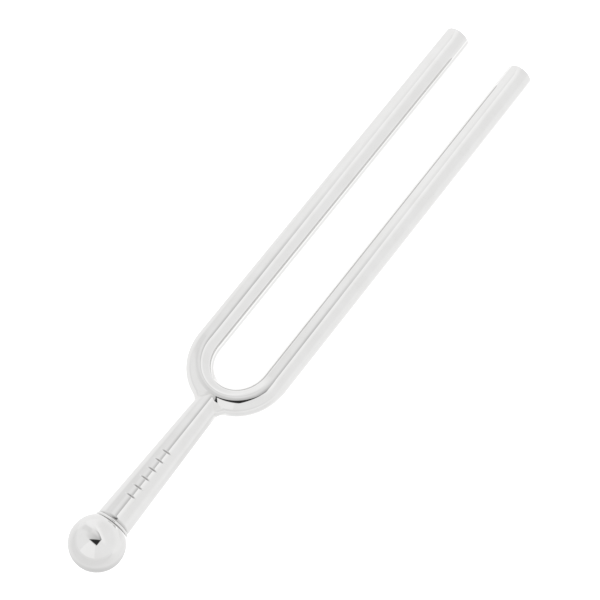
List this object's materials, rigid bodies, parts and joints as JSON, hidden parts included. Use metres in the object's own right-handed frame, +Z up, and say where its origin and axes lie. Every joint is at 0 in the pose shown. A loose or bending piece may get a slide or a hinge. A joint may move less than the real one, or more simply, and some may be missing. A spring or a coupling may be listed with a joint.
{
  "type": "tuning fork",
  "caption": "Tuning fork bent from one round plated steel bar, brazed to a tapered stem with a turned bead and a ball foot.",
  "frame": {"origin": "under the middle of the bounding box, on the surface that the fork lies on", "axes": "+Y along the fork from the ball foot towards the tine ends, +X from the left tine to the right one, +Z up; the fork rests on its ball and on both tine ends, so its centre line leans 1.2 degrees down towards the tine ends"},
  "size_m": [0.019, 0.125, 0.01],
  "materials": {
    "nickel_plate": "bright nickel plate on steel, mirror polished with fine handling scratches",
    "braze_filler": "plated over, polished but slightly wavy",
    "stud_steel": "plain machined steel, hidden inside"
  },
  "bodies": {
    "root": {"tine_bar": "nickel_plate", "stem": "nickel_plate", "braze_fillet": "braze_filler", "bead_collar": "nickel_plate", "ball_foot": "nickel_plate", "ball_stud": "stud_steel"}
  },
  "joints": []
}
